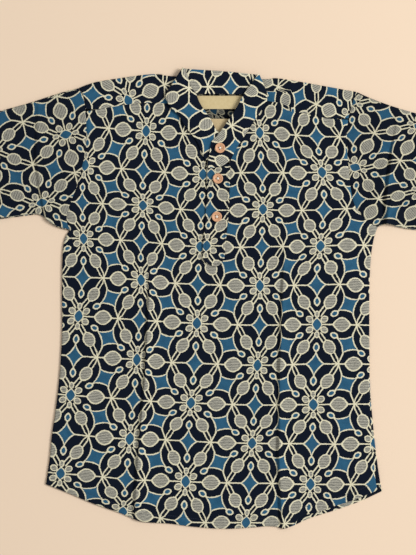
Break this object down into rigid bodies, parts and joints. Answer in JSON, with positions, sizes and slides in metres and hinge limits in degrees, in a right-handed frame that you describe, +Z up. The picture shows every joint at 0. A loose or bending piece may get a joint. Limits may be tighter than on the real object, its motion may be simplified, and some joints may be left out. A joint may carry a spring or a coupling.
{
  "type": "kurta tunic",
  "caption": "Child's short cotton kurta laid flat, with a stand collar, a half placket with buttons, wide sleeves and an all-over geometric floral print",
  "frame": {"origin": "centre of the bounding box in plan, on the surface that the garment lies on", "axes": "+X to the viewer's right, +Y from hem to collar, +Z up from the surface"},
  "size_m": [0.603, 0.5251, 0.0116],
  "materials": {
    "printed_cotton": "plain-woven cotton printed in navy, blue, cream and grey, matte",
    "woven_label": "woven label tape, pale gold, soft sheen, bare",
    "plain_label": "plain tape, beige, matte, bare",
    "coconut_shell": "turned coconut shell, satin"
  },
  "bodies": {
    "root": {"front_panel": "printed_cotton", "back_panel": "printed_cotton", "yoke": "printed_cotton", "sleeve_left": "printed_cotton", "sleeve_right": "printed_cotton", "collar": "printed_cotton", "placket_over": "printed_cotton", "placket_under": "printed_cotton", "neck_label": "woven_label", "size_label": "plain_label", "button_1": "coconut_shell", "button_2": "coconut_shell", "button_3": "coconut_shell"}
  },
  "joints": []
}
